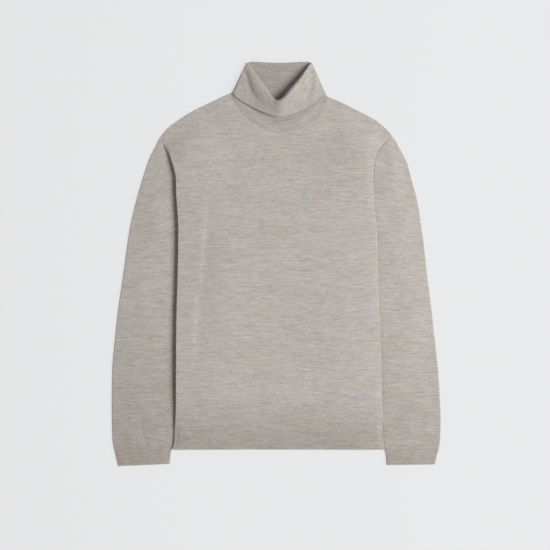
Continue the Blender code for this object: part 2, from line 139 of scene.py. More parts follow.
def smooth_curve(at, values):
    """The smooth curve through the points: cubic from each to the next, never overshooting them."""
    order = np.argsort(at)
    at, values = np.asarray(at, float)[order], np.asarray(values, float)[order]
    span = np.diff(at)
    rise = np.diff(values) / span
    product = rise[:-1] * rise[1:]
    total = np.where(product > 0, rise[:-1] + rise[1:], 1.0)
    slope = np.concatenate([rise[:1], np.where(product > 0, 2 * product / total, 0.0), rise[-1:]])

    def curve(x):
        x = np.clip(x, at[0], at[-1])
        i = np.clip(np.searchsorted(at, x) - 1, 0, len(span) - 1)
        t = (x - at[i]) / span[i]
        start = (1 + 2 * t) * (1 - t) ** 2 * values[i] + t * (1 - t) ** 2 * span[i] * slope[i]
        return start + t**2 * (3 - 2 * t) * values[i + 1] + t**2 * (t - 1) * span[i] * slope[i + 1]

    return curve


def curves(rows, columns):
    """Every column of a table as a smooth function of its first one."""
    first = column(rows, columns, columns[0])
    return {name: smooth_curve(first, column(rows, columns, name)) for name in columns[1:]}


def ease(t):
    """0 to 1 and level at both ends: t squared times three less twice t."""
    t = np.clip(t, 0.0, 1.0)
    return t * t * (3 - 2 * t)


def between(y, none, full):
    """0 at the height none, eased to 1 at the height full, which may be the lower one."""
    return ease((y - none) / (full - none))


def unit(vectors):
    """The vectors, each divided by its own length."""
    return vectors / np.maximum(np.linalg.norm(vectors, axis=-1, keepdims=True), 1e-9)


def creases(x, y, paths, skew=1.0):
    """Height of soft ridges at plan points: each path's height there, times a bell curve of the
    distance from it over its half width. Both are read at the nearest point of the path, and the
    width is skew times as much on its left, seen along it.
    """
    total = np.zeros_like(x)
    for path in paths:
        path = np.array(path, float)
        best, ridge = np.full_like(x, np.inf), np.zeros_like(x)
        for a, b in zip(path[:-1], path[1:]):
            along = b[:2] - a[:2]
            t = np.clip(((x - a[0]) * along[0] + (y - a[1]) * along[1]) / (along @ along), 0, 1)
            away = np.hypot(x - a[0] - t * along[0], y - a[1] - t * along[1])
            away = away / np.where(along[0] * (y - a[1]) - along[1] * (x - a[0]) > 0, skew, 1.0)
            height, width = (a[k] + t * (b[k] - a[k]) for k in (2, 3))
            ridge = np.where(away < best, height * np.exp(-((away / width) ** 2)), ridge)
            best = np.minimum(away, best)
        total += ridge
    return total


body = curves(BODY_ROWS, BODY_COLUMNS)
shoulder = {
    "left": smooth_curve(*np.array(SHOULDER_LEFT).T), "right": smooth_curve(*np.array(SHOULDER_RIGHT).T)
}
collar_front, collar_back = curves(COLLAR_FRONT, COLLAR_COLUMNS), curves(COLLAR_BACK, COLLAR_COLUMNS)


def rail(table, p, name):
    """Plan points of one of the collar's lines, at the places p round the neck."""
    return np.stack([table[name + "_x"](p), table[name + "_y"](p)], axis=-1)


def half_body(side, y, turn, inside, fine):
    """One half of a panel, a row for each y: distance from the middle, distance past the start of
    the side's roll, and where the roll starts. inside gives the columns below the neckline, and more
    are spread evenly from there to the tucked cloth and on to the roll. fine: facets in the roll.
    """
    edge, reach = body[side](y)[:, None], body["reach"](y)[:, None]
    angle = body["wrap"](y)[:, None] / FRONT_TURN
    strip = np.maximum(angle - math.pi, 0.0) * FRONT_TURN
    wrap = np.minimum(angle, math.pi) * turn + strip
    start = edge - (FRONT_TURN + HALF) * np.sin(np.minimum(angle, math.pi / 2))
    start = start - (BACK_INSET if turn < FRONT_TURN else 0.0)
    # The roll's points take up at least this much cloth, and up to five sevenths of it is in the bend.
    # The front's crowd at its start, where the squared-off turn is sharpest.
    span = np.maximum(wrap, 2.0 + 1.6 * turn)
    bend = np.minimum(span * 5 / 7, math.pi * turn)
    steps = np.linspace(0, 1, fine + 1) ** (2.5 if turn == FRONT_TURN else 1)
    strip_steps = np.linspace(0, 1, fine // 2)[1:]
    rolled = wrap - span + np.concatenate([bend * steps, bend + (span - bend) * strip_steps], axis=1)
    inner = edge - reach
    flat = inner + (start + rolled[:, :1] - inner) * np.linspace(0, 1, 3 * fine)[1:-1]
    beside = inside[-1] + (inner - inside[-1]) * np.linspace(0, 1, 2 * fine + 2)[1:]
    middle = np.tile(inside, (len(y), 1))
    across = np.concatenate([middle, beside, flat, start + rolled], axis=1)
    return across, across - start, start


def raised_by(side, across, y, layer=1):
    """How far a panel is raised at a place: the loft in the middle, none for the back (layer 0), eased
    into the side's lift. The table's row for the place is found by taking the shoulder's rise off
    again, a few times over.
    """
    row = y
    for _ in range(14):
        row = y - (shoulder[side](across) - PANEL_TOP) * between(row, UNDERARM, PANEL_TOP)
    inner = body[side](row) - body["reach"](row)
    loft = body["loft"](y) * layer
    return loft + (body["lift"](row) - loft) * ease((across - inner) / body["slope"](row) + 1)


def side_fall(past, y):
    """How far the right side has come down: the square of the share of its width, none at the top."""
    return EDGE_FALL * np.clip(1 + past / FALL_WIDTH, 0, 1) ** 2 * between(y, FALL_TOP, FALL_FULL)


def body_panel(y, turn, layer, neck, raised, fine, relief=None):
    """A panel as a grid of points and its knit coordinates, from its lower edge up, in millimetres.

    Rows are level at the hem and take the shape of shoulders and neckline at the top: each is moved
    up by its share of the top edge's rise, times raised. Past the start of the roll z falls by turn
    times one less the cosine of the angle, and x goes out by turn times its sine, whose power SQUARE
    squares it off above; then the cloth runs back level. relief(x, y) adds height to the upper side.
    """
    share = raised * between(y, UNDERARM, PANEL_TOP)[:, None]
    halves = []
    for side, sign in (("left", -1.0), ("right", 1.0)):
        mine = neck[neck[:, 0] * sign > 0] * (sign, 1.0)
        mine = mine[np.argsort(mine[:, 0])]
        inside = mine[:, 0]
        top_row = half_body(side, np.array([PANEL_TOP]), turn, inside, fine)[0][0]
        top_y = np.append(mine[:, 1], shoulder[side](top_row[len(mine):]))
        across, past, start = half_body(side, y, turn, inside, fine)
        angle = np.clip(past / turn, 0.0, math.pi)
        square = np.where(angle < math.pi / 2, SQUARE, 1.0)
        turned = start + turn * np.abs(np.sin(angle)) ** square - np.maximum(past - math.pi * turn, 0)
        x = sign * np.where(past > 0, turned, across)
        rows = y[:, None] + (top_y - PANEL_TOP) * share
        z = HALF + layer * PITCH + raised_by(side, across, rows, layer) - turn * (1 - np.cos(angle))
        if relief:
            z = z + relief(x, rows) * ease(-past / RELIEF_FADE)
            z = z - side_fall(past, rows) * (sign > 0) * ease(2 - angle / math.pi * 2)
        grid = np.stack([x, rows, z, sign * across, rows], axis=-1)
        halves.append(grid[:, ::-1] if sign < 0 else grid)
    grid = np.concatenate(halves, axis=1)
    return grid[..., :3], grid[..., 3:]


def neckline(table):
    """The panel's edge at the collar, and a point beyond it at each shoulder."""
    base = rail(table, ROUND_NECK, "base")
    ends = base[[0, -1]] + ((-0.9, 1.2), (0.9, 1.2))
    return np.concatenate([ends[:1], base, ends[1:]])


def add_node(tree, kind, **settings):
    """A node with its settings, set on its sockets or its own properties."""
    node = tree.nodes.new(kind)
    for key, value in settings.items():
        if key in node.inputs:
            node.inputs[key].default_value = value
        else:
            setattr(node, key, value)
    return node


def new_group(name, inputs, outputs):
    """An empty shader node group with named inputs and outputs, and its two end nodes."""
    tree = bpy.data.node_groups.new(name, "ShaderNodeTree")
    for way, sockets in (("INPUT", inputs), ("OUTPUT", outputs)):
        for label, kind in sockets.items():
            tree.interface.new_socket(label, in_out=way, socket_type="NodeSocket" + kind)
    return tree, tree.nodes.new("NodeGroupInput"), tree.nodes.new("NodeGroupOutput")


def maths(tree, operation, *values):
    """A Math node on values that are sockets or numbers, and its output."""
    node = tree.nodes.new("ShaderNodeMath")
    node.operation = operation
    for socket, value in zip(node.inputs, values):
        if isinstance(value, bpy.types.NodeSocket):
            tree.links.new(value, socket)
        else:
            socket.default_value = value
    return node.outputs[0]


def streaks(tree, along, across, long, wide, seed, detail=1.0):
    """Noise on two places in the knit, each times its own scale, about 0.5 in the mean."""
    place = tree.nodes.new("ShaderNodeCombineXYZ")
    place.inputs["Z"].default_value = seed
    tree.links.new(maths(tree, "MULTIPLY", along, long), place.inputs["X"])
    tree.links.new(maths(tree, "MULTIPLY", across, wide), place.inputs["Y"])
    noise = add_node(tree, "ShaderNodeTexNoise", Scale=1.0, Detail=detail, Roughness=0.6)
    tree.links.new(place.outputs[0], noise.inputs["Vector"])
    return noise.outputs["Fac"]


def heather_group():
    """Heather yarn: every course is a length of yarn of its own, on which dyed and undyed fibres make
    streaks 3 to 30 mm long. Tone is the weighted sum of three noises along the course, with flecks and
    broad patches over them. Slower noises turn the colour from pink to grey and from warm to cool.
    """
    colours = dict.fromkeys(("Pale", "Dark", "Pink", "Grey", "Warm", "Cool"), "Color")
    tree, start, end = new_group(
        "heather yarn", {"Knit": "Vector", "Course": "Float", **colours}, {"Color": "Color"}
    )
    join = tree.links.new
    apart = tree.nodes.new("ShaderNodeSeparateXYZ")
    join(start.outputs["Knit"], apart.inputs[0])
    u, v = apart.outputs["X"], apart.outputs["Y"]
    course = maths(tree, "FLOOR", maths(tree, "DIVIDE", v, start.outputs["Course"]))
    # Each noise: its scales along and across the courses, and its seed; then its weight in the tone.
    parts = (
        (streaks(tree, u, course, 210.0, 7.31, 3.1), 0.5),
        (streaks(tree, u, course, 72.0, 5.17, 11.7), 0.7),
        (streaks(tree, u, course, 29.0, 9.73, 23.9), 0.7),
        (streaks(tree, u, v, 700.0, 900.0, 31.3), 0.6),
        (streaks(tree, u, v, 13.0, 34.0, 7.7, 2.0), 0.15),
    )
    tone = None
    for noise, weight in parts:
        part = maths(tree, "MULTIPLY_ADD", noise, weight, -0.5 * weight)
        tone = part if tone is None else maths(tree, "ADD", tone, part)
    tone = maths(tree, "ADD", tone, 0.5)
    yarn = add_node(tree, "ShaderNodeMix", data_type="RGBA")
    join(tone, yarn.inputs["Factor"])
    join(start.outputs["Dark"], yarn.inputs["A"])
    join(start.outputs["Pale"], yarn.inputs["B"])
    colour = yarn.outputs["Result"]
    for one, other, noise in (
        ("Pink", "Grey", streaks(tree, u, v, 42.0, 85.0, 41.3, 2.0)),
        ("Warm", "Cool", streaks(tree, u, v, 14.0, 40.0, 57.9, 2.0)),
    ):
        hue = add_node(tree, "ShaderNodeMix", data_type="RGBA")
        join(maths(tree, "MULTIPLY_ADD", noise, 3.4, -1.2), hue.inputs["Factor"])
        join(start.outputs[one], hue.inputs["A"])
        join(start.outputs[other], hue.inputs["B"])
        mixed = add_node(tree, "ShaderNodeMix", data_type="RGBA", blend_type="MULTIPLY", Factor=1.0)
        join(colour, mixed.inputs["A"])
        join(hue.outputs["Result"], mixed.inputs["B"])
        colour = mixed.outputs["Result"]
    join(colour, end.inputs["Color"])
    return tree


def stitch_group():
    """Height of plain knitting: each wale has two legs, and a leg's humps lean towards its middle.
    The hump is the sine of twice the place across the wale, times a wave of the place along it that
    is shifted by the distance from the wale's middle. Ribbed, the wales stand and sink in turn.
    """
    sizes = {"Wale": "Float", "Course": "Float", "Rib": "Float"}
    tree, start, end = new_group("knit stitches", {"Knit": "Vector", **sizes}, {"Height": "Float"})
    apart = tree.nodes.new("ShaderNodeSeparateXYZ")
    tree.links.new(start.outputs["Knit"], apart.inputs[0])
    wale = maths(tree, "DIVIDE", apart.outputs["X"], start.outputs["Wale"])
    course = maths(tree, "DIVIDE", apart.outputs["Y"], start.outputs["Course"])
    within = maths(tree, "FRACT", wale)
    leg = maths(tree, "ABSOLUTE", maths(tree, "SINE", maths(tree, "MULTIPLY", within, 2 * math.pi)))
    lean = maths(tree, "ABSOLUTE", maths(tree, "MULTIPLY_ADD", within, 2.0, -1.0))
    along = maths(tree, "MULTIPLY_ADD", lean, 0.5, course)
    wave = maths(tree, "COSINE", maths(tree, "MULTIPLY", along, 2 * math.pi))
    loop = maths(tree, "MULTIPLY_ADD", wave, 0.3, 0.7)
    ridge = maths(tree, "COSINE", maths(tree, "MULTIPLY", wale, math.pi))
    rib = maths(tree, "MULTIPLY", maths(tree, "MULTIPLY", ridge, 1.6), start.outputs["Rib"])
    height = maths(tree, "ADD", maths(tree, "MULTIPLY", leg, loop), rib)
    tree.links.new(height, end.inputs["Height"])
    return tree


def painted_shade_group():
    """Share of painted shade, darker towards the bottom: 0 above From, 1 below To, level at both ends."""
    places = {"Knit": "Vector", "From": "Float", "To": "Float"}
    tree, start, end = new_group("closing up", places, {"Share": "Float"})
    apart = tree.nodes.new("ShaderNodeSeparateXYZ")
    tree.links.new(start.outputs["Knit"], apart.inputs[0])
    share = add_node(tree, "ShaderNodeMapRange", interpolation_type="SMOOTHSTEP")
    tree.links.new(apart.outputs["Y"], share.inputs["Value"])
    tree.links.new(start.outputs["From"], share.inputs["From Min"])
    tree.links.new(start.outputs["To"], share.inputs["From Max"])
    tree.links.new(share.outputs[0], end.inputs["Share"])
    return tree


heather, stitches, painted_shade_ramp = heather_group(), stitch_group(), painted_shade_group()
# Linear colours of undyed and dyed fibres, and what painted shade at the bottom and slow hues multiply
# them by
PALE, DARK, PAINTED_SHADE = (0.66, 0.62, 0.579), (0.31, 0.282, 0.257), (0.828, 0.816, 0.79)
PINK, GREY = (1.019, 0.986, 1.003), (0.981, 1.006, 0.993)
WARM, COOL = (1.013, 1.0, 0.974), (0.987, 1.0, 1.027)
WALE, COURSE = 0.0018, 0.0013  # metres: width of a wale, height of a course


def wool(name, tone=1.0, wale=WALE, rib=0.0, depth=0.00013, shade_span=(-1.0, -2.0)):
    """Matt fine wool: heather colour, stitches and fibre fuzz in relief, a faint bloom of sheen. Painted
    shade darkens it towards the bottom between the two places on the knit that its last argument gives, in
    metres.
    """
    material = bpy.data.materials.new(name)
    material.use_nodes = True
    tree = material.node_tree
    join = tree.links.new
    shader = tree.nodes["Principled BSDF"]
    shader.inputs["Roughness"].default_value = 0.9
    shader.inputs["Specular IOR Level"].default_value = 0.2
    shader.inputs["Sheen Weight"].default_value = 0.12
    shader.inputs["Sheen Roughness"].default_value = 0.5
    place = add_node(tree, "ShaderNodeUVMap", uv_map="knit")
    yarn = add_node(tree, "ShaderNodeGroup", node_tree=heather)
    yarn.inputs["Course"].default_value = COURSE
    colours = {"Pale": PALE, "Dark": DARK, "Pink": PINK, "Grey": GREY, "Warm": WARM, "Cool": COOL}
    for key, colour in colours.items():
        share = tone if key in ("Pale", "Dark") else 1.0
        yarn.inputs[key].default_value = (*(c * share for c in colour), 1)
    # Painted shade: its share here, and the darker colour that it multiplies the yarn by
    closed = add_node(tree, "ShaderNodeGroup", node_tree=painted_shade_ramp, From=shade_span[0], To=shade_span[1])
    shaded = add_node(tree, "ShaderNodeMix", data_type="RGBA", blend_type="MULTIPLY", B=(*PAINTED_SHADE, 1))
    loops = add_node(tree, "ShaderNodeGroup", node_tree=stitches, Wale=wale, Course=COURSE, Rib=rib)
    fuzz = add_node(tree, "ShaderNodeTexNoise", Scale=900.0, Detail=2.0)
    for node, socket in ((yarn, "Knit"), (closed, "Knit"), (loops, "Knit"), (fuzz, "Vector")):
        join(place.outputs[0], node.inputs[socket])
    join(closed.outputs["Share"], shaded.inputs["Factor"])
    join(yarn.outputs["Color"], shaded.inputs["A"])
    fibres = maths(tree, "MULTIPLY", fuzz.outputs["Fac"], 0.8)
    height = maths(tree, "ADD", loops.outputs["Height"], fibres)
    bump = add_node(tree, "ShaderNodeBump", Strength=1.0, Distance=depth)
    join(height, bump.inputs["Height"])
    join(bump.outputs[0], shader.inputs["Normal"])
    join(shaded.outputs["Result"], shader.inputs["Base Color"])
    return material


# Painted shade: the jersey darkens from 235 mm below the middle of the outline down to the hem rib.
jersey = wool("fine wool jersey", shade_span=(-0.235, -0.35))


def knitted(
    name, points, knit, material, node=None, joined_round=False, joined_rows=None, thick=KNIT
):
    """A knitted wall on a grid of points (rows, columns, xyz) and knit coordinates, in millimetres.

    joined_round closes each row on itself, and joined_rows does so in the rows that it marks. knit
    has one column more than the points where every row is closed. The piece takes the place of the
    solid that node names.
    """
    rows, columns = points.shape[:2]
    index = np.arange(rows * columns).reshape(rows, columns)
    if joined_rows is not None:
        index[joined_rows, -1] = index[joined_rows, 0]
    if joined_round:
        index = np.concatenate([index, index[:, :1]], axis=1)
    corners = [(slice(None, -1), slice(None, -1)), (slice(None, -1), slice(1, None)),
               (slice(1, None), slice(1, None)), (slice(1, None), slice(None, -1))]
    faces = np.stack([index[c] for c in corners], axis=-1).reshape(-1, 4)
    places = np.stack([knit[c] for c in corners], axis=2).reshape(-1, 2) * MM
    used, faces = np.unique(faces, return_inverse=True)
    mesh = bpy.data.meshes.new(name)
    mesh.from_pydata((points.reshape(-1, 3)[used] * MM).tolist(), [], faces.reshape(-1, 4).tolist())
    layer = mesh.uv_layers.new(name="knit")
    layer.data.foreach_set("uv", places.astype(np.float32).ravel())
    mesh.update()
    mesh.shade_smooth()
    sides = np.empty(len(mesh.loops), np.int32)
    mesh.loops.foreach_get("edge_index", sides)
    rim = mesh.attributes.new("sharp_edge", "BOOLEAN", "EDGE")
    rim.data.foreach_set("value", np.bincount(sides, minlength=len(mesh.edges)) == 1)
    mesh.materials.append(material)
    piece = bpy.data.objects.new(name, mesh)
    bpy.context.scene.collection.objects.link(piece)
    if thick:
        wall = piece.modifiers.new("knit thickness", "SOLIDIFY")
        wall.thickness, wall.offset = thick * MM, 0.0
    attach(piece, "root")
    if node:
        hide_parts(node)
    return piece


def front_relief(x, y):
    """Creases and a slow unevenness: the product of three long waves."""
    wave = np.sin(x / 31 + y / 67 + 1.1) * np.sin(y / 43 - x / 90 + 0.4) * np.sin(x / 97 + y / 29)
    return creases(x, y, PANEL_CREASES) + creases(x, y, [PRESS_LINE], PRESS_SKEW) + UNEVEN * (wave + 0.5)


panel_rows = np.linspace(RIB_TOP, PANEL_TOP, 180)
neck_edge = neckline(collar_front)
points, knit = body_panel(panel_rows, FRONT_TURN, 1, neck_edge, 1.0, 14, front_relief)
front_panel = knitted("front_panel_knit", points, knit, jersey, "front_panel")
coarse_rows = np.linspace(RIB_TOP, PANEL_TOP, 94)
points, knit = body_panel(coarse_rows, BACK_TURN, 0, neckline(collar_back), 1.0, 8)
back_panel = knitted("back_panel_knit", points, knit, jersey, "back_panel")

# ------------------------ sleeves
# Each is one tapered piece, seamed into a tube below the underarm and open above it, where it is set
# into the armhole. It lies flat beside the body with its inner edge run under the body.

SLEEVE_COLUMNS = ("y", "left_out", "left_in", "right_out", "right_in")
SLEEVE_ROWS = (
    (252.4, 216.3, 215.7, 217.9, 217.4),
    (246.5, 220.9, 216.0, 221.5, 214.9),
    (238.0, 226.4, 215.7, 228.9, 208.9),
    (224.4, 233.2, 210.0, 236.1, 189.0),
    (207.1, 242.0, 201.0, 245.3, 179.5),
    (191.7, 248.2, 190.0, 252.4, 177.5),
    (176.4, 253.2, 184.0, 256.8, 175.0),
    (161.0, 258.0, 180.0, 260.6, 173.0),
    (130.3, 267.0, 169.0, 269.1, 165.0),
    (99.6, 275.0, 156.0, 275.4, 155.0),
    (68.8, 281.6, 140.0, 279.5, 142.0),
    (40.0, 286.2, 126.0, 283.5, 131.0),
    (-23.3, 294.8, 134.0, 290.8, 139.5),
    (-84.8, 303.8, 148.5, 298.5, 154.0),
    (-146.2, 310.6, 163.5, 305.2, 170.0),
    (-207.6, 315.7, 178.0, 311.5, 186.0),
    (-261.4, 316.4, 185.0, 314.7, 194.0),
    (-300.0, 316.2, 193.0, 316.4, 202.0),
    (-330.5, 315.4, 198.4, 315.3, 208.1),
    (-345.9, 314.2, 200.6, 314.2, 208.9),
    (-353.7, 312.4, 201.7, 312.5, 209.4),
)
SLEEVE_END = {"left": -351.1, "right": -353.7}
# How far the upper side stands off the lower, and where it does so most, from the outer edge (0) to the
# body (1). It stands less where the sleeve is narrower than this.
CROWN, CROWNED_WIDTH = {"left": (0.8, 0.5), "right": (0.7, 0.45)}, 60.0
SINK_HIGH, SINK_LOW = 0.8, 1.4  # how far it is pressed down beside the body, at the underarm and the hem
DIP_HIGH, DIP_MIDDLE, DIP_LOW = 3.5, 5.0, 1.6  # width over which that fades, from the underarm to the hem
SEAM_OVER, SEAM_UNDER = 0.1, 1.9  # the inner edge clears the body's side, or runs under it at the armhole
LEAN_LOW = 0.2  # share of the outer edge's slope that the courses of the lower sleeve keep
FOLD_POINTS, LAYER_POINTS, ROUND_POINTS = 5, 40, 13  # at the inner fold, across a layer, at the outer fold
OUTER_FOLD = FOLD_POINTS + LAYER_POINTS  # column in which the outer fold starts
YARN_AWAY = 400.0  # place of the outer fold in the yarn, far from the body's

SLEEVE_CREASES = {
    "left": (
        ((-264.8, -262, 0.0, 6), (-263, -285, -0.4, 5), (-260, -311, -0.6, 4.5), (-254, -336, -0.9, 4),
         (-248, -350, -0.6, 3.5)),
        ((-285, -262, 0.0, 9), (-262, -268, 0.9, 7), (-238, -264, 0.0, 9)),
        ((-240, -300, 0.0, 9), (-226, -322, 0.9, 9), (-219, -345, 0.0, 9)),
        ((-292, -310, 0.0, 9), (-281, -328, 0.7, 8), (-272, -348, 0.0, 8)),
        ((-262, 150, 0.0, 16), (-240, 118, 0.9, 15), (-226, 70, 0.6, 16), (-221, 20, 0.0, 18)),
        ((-290, 10, 0.0, 18), (-262, -40, 0.8, 18), (-240, -110, 0.6, 18), (-230, -170, 0.0, 20)),
        ((-300, -150, 0.0, 14), (-272, -186, 0.8, 15), (-240, -205, 0.0, 16)),
    ),
    "right": (
        ((214, 214, 0.0, 9), (222, 196, 0.8, 9), (224, 160, 0.5, 12), (220, 120, 0.0, 14)),
        ((262, 130, 0.0, 15), (246, 90, 0.9, 15), (232, 30, 0.5, 16), (226, -30, 0.0, 16)),
        ((290, -60, 0.0, 16), (262, -105, 0.8, 17), (240, -160, 0.5, 18), (232, -210, 0.0, 18)),
        ((300, -240, 0.0, 12), (276, -262, 0.9, 11), (246, -270, 0.0, 12)),
        ((238, -296, 0.0, 9), (256, -314, 0.9, 8), (270, -340, 0.0, 9)),
        ((292, -292, 0.0, 9), (288, -318, 0.8, 8), (280, -344, 0.0, 9)),
    ),
}


def flat_tube(width, seen, opened, sink, dip, crowned):
    """Sections of a flattened tube: distance in from the outer edge, height, 1 on the upper layer and
    0 elsewhere, and place in the knit.

    From the middle of the inner fold over the upper layer, round the outer fold's half circle and
    back beneath. The upper layer's crown eases up from the outer fold and falls as a parabola to the
    body, where it is pressed down by sink, which fades with the exponential of the distance over dip.
    Where opened is 1 the inner fold is laid open as two flat edges.
    """
    turn, rows = BACK_TURN, len(width)
    width, opened, seen = width[:, None], opened[:, None], seen[:, None]
    edge = turn + HALF
    inner, outer = np.linspace(math.pi / 2, 0, FOLD_POINTS), np.linspace(0, math.pi, ROUND_POINTS)
    fold = width - edge + turn * np.sin(inner)
    laid = edge + (width - edge) * np.linspace(1, 0.93, FOLD_POINTS)
    fold_in = fold + (laid - fold) * opened
    fold_drop = turn * (1 - np.cos(inner)) * (1 - opened)
    shares = np.linspace(0, 1, LAYER_POINTS + 2)[1:-1][::-1]
    spread = edge + (fold_in[:, -1:] - edge) * shares
    fold_out = np.tile(edge - turn * np.sin(outer), (rows, 1))
    height_out = np.tile(turn * np.cos(outer), (rows, 1))
    share = np.clip((spread - edge) / np.maximum(seen - edge, 1), 0, 1)
    top, peak = crowned
    hump = np.where(share < peak, ease(share / peak), 1 - ((share - peak) / (1 - peak)) ** 2)
    crown = top * np.minimum(seen / CROWNED_WIDTH, 1) * hump
    crown = crown - sink[:, None] * np.exp(-np.abs(seen - spread) / dip[:, None])
    across = np.concatenate([fold_in, spread, fold_out, spread[:, ::-1], fold_in[:, ::-1]], axis=1)
    under = np.full_like(spread, -turn)
    height = np.concatenate(
        [turn - fold_drop, turn + crown, height_out, under, fold_drop[:, ::-1] - turn], axis=1
    )
    upper = np.zeros_like(across)
    upper[:, :OUTER_FOLD] = 1.0
    step = np.hypot(np.diff(across, axis=1), np.diff(height, axis=1))
    place = np.concatenate([np.zeros((rows, 1)), np.cumsum(step, axis=1)], axis=1)
    return across, HALF + turn + height, upper, place


def sleeve_grid(side, sign):
    """A sleeve's points and knit coordinates from the top of its cap to its cuff. Its courses run
    square to its middle line, so the place along the knit leans with that line's slope.
    """
    sleeve = curves(SLEEVE_ROWS, SLEEVE_COLUMNS)
    cap = np.linspace(SLEEVE_ROWS[0][0], UNDERARM + 3, 70)
    y = np.concatenate([cap, np.linspace(UNDERARM, SLEEVE_END[side], 130)])
    outer, inner = sleeve[side + "_out"](y), sleeve[side + "_in"](y)
    edge = body[side](y)
    under = SEAM_OVER - SEAM_UNDER * between(y, 140, 155) * between(y, 232, 218)
    inner = np.minimum(inner, edge + under)
    inner = inner + (edge - inner) * between(y, 228, 234)
    seen = outer - np.maximum(inner, edge)
    opened = (y > UNDERARM + 1).astype(float)
    sink = SINK_HIGH + (SINK_LOW - SINK_HIGH) * between(y, UNDERARM, -260)
    dip = DIP_HIGH + (DIP_MIDDLE - DIP_HIGH) * between(y, UNDERARM, -80)
    dip = dip - (DIP_MIDDLE - DIP_LOW) * between(y, -130, -270)
    across, height, upper, place = flat_tube(outer - inner, seen, opened, sink, dip, CROWN[side])
    x = sign * (outer[:, None] - across)
    rows = y[:, None] + 0 * x
    away = ease((across - 3) / 8) * ease((seen[:, None] - across + 4) / 10)  # from both folds
    height = height + creases(x, rows, SLEEVE_CREASES[side]) * upper * away
    lean = np.gradient(sleeve[side + "_out"](y), y)[:, None]
    lean = between(y[:, None], -60, 100) * lean * (1 - LEAN_LOW) + lean * LEAN_LOW
    course = rows - lean * (sign * x - outer[:, None])
    knit = np.stack([sign * (place - place[:, [OUTER_FOLD]] + YARN_AWAY), course], axis=-1)
    return np.stack([x, rows, height], axis=-1), knit, opened == 0


# Painted shade: the sleeves darken from their middle down to the cuffs.
sleeve_jersey = wool("fine wool sleeve jersey", shade_span=(-0.02, -0.5))
for side, sign, flat, area in (("left", -1.0, (0.32, 0.598), 0.15), ("right", 1.0, (0.305, 0.6), 0.14)):
    points, knit, closed = sleeve_grid(side, sign)
    node = f"sleeve_{side}"
    sleeve = knitted(f"{node}_knit", points, knit, sleeve_jersey, node, joined_rows=closed)

# ------------------------ linked seams
# Shoulders and armholes are linked: a fine chain of yarn along each armhole, a little proud of the cloth,
# and a narrow band over the edge of each shoulder, where front and back are joined. The left armhole's
# chain lies on top of the front, a little inside the fold beside the sleeve.

ARMHOLE_LEFT = (
    (-215.9, 251.5), (-209.0, 236.0), (-202.3, 220.9), (-196.8, 203.2), (-194.2, 186.0), (-192.6, 170.0)
)
ARMHOLE_RIGHT = (
    (216.6, 250.5), (207.2, 238.0), (197.2, 224.4), (188.6, 207.1), (185.1, 191.7), (184.2, 176.4),
    (184.4, 161.0),
)
CHAIN_WIDTH, CHAIN_HEIGHT, LOOP = 2.0, 0.4, 2.6
CHAIN_BED, LOOP_SWELL = 0.25, 0.08  # how deep its edges lie in the cloth, and the share that loops vary by
CHAIN_LEAST, CHAIN_TAIL = 0.1, 25.0  # share left at an armhole chain's lower end, and its taper
# The shoulder's band: how far it stands out, how far its edges are drawn in, half its height, its
# thickness, and the angle that it bends through either way
BAND_OUT, BAND_IN, BAND_HALF, BAND_THICK, BAND_BEND = 1.3, 0.3, 1.6, 0.25, 2.1
# Painted highlight: the chains are the cloth's yarn, painted 1.16 times lighter for the light that a
# raised chain catches.
linking = wool("linking yarn", tone=1.16, wale=0.0009, depth=0.0001)


def spline(points, step):
    """A smooth path through plan points, with points about step apart."""
    points = np.array(points, float)
    along = np.concatenate([[0], np.cumsum(np.linalg.norm(np.diff(points, axis=0), axis=1))])
    at = np.linspace(0, along[-1], int(along[-1] / step) + 2)
    return np.stack([smooth_curve(along, points[:, k])(at) for k in range(points.shape[1])], axis=1), at


def panel_height(side, across, y):
    """Height of the front's upper side at places on one side, down the turn where they are past it."""
    angle = np.minimum(body["wrap"](y) / FRONT_TURN, math.pi / 2)
    start = body[side](y) - (FRONT_TURN + HALF) * np.sin(angle)
    past = across - start
    turned = np.clip(past / FRONT_TURN, 0, 1) ** (1 / SQUARE)
    drop = FRONT_TURN * (1 - np.sqrt(1 - turned**2)) + side_fall(past, y) * (side == "right")
    relief = front_relief(across if side == "right" else -across, y) * ease(-past / RELIEF_FADE)
    return HALF + PITCH + raised_by(side, across, y) - drop + relief + KNIT / 2


def chain(name, plan, heights, fade):
    """A chain of loops along a path: a half ellipse across it, whose width and height follow a cosine
    once a loop and are multiplied by fade. heights is the cloth's upper side beneath it.
    """
    along = np.concatenate([[0], np.cumsum(np.linalg.norm(np.diff(plan, axis=0), axis=1))])
    way = unit(np.gradient(plan, axis=0))
    normal = np.stack([-way[:, 1], way[:, 0]], axis=1)
    swell = (1 - LOOP_SWELL + LOOP_SWELL * np.cos(2 * math.pi * along / LOOP)) * fade
    turn = np.linspace(0, math.pi, 8)
    out = np.cos(turn) * CHAIN_WIDTH / 2 * swell[:, None]
    up = np.sin(turn) * CHAIN_HEIGHT * swell[:, None] - CHAIN_BED
    xy = plan[:, None] + normal[:, None] * out[..., None]
    points = np.concatenate([xy, (heights[:, None] + up)[..., None]], axis=-1)
    knit = np.stack([out, along[:, None] + 0 * out], axis=-1)
    return knitted(name, points, knit, linking, thick=None)


for side, path in (("left", ARMHOLE_LEFT), ("right", ARMHOLE_RIGHT)):
    plan, at = spline(path, 0.65)
    heights = panel_height(side, np.abs(plan[:, 0]), plan[:, 1])
    fade = ease((at[-1] - at) / CHAIN_TAIL) * (1 - CHAIN_LEAST) + CHAIN_LEAST
    chain(f"armhole_linking_{side}", plan, heights, fade=fade)

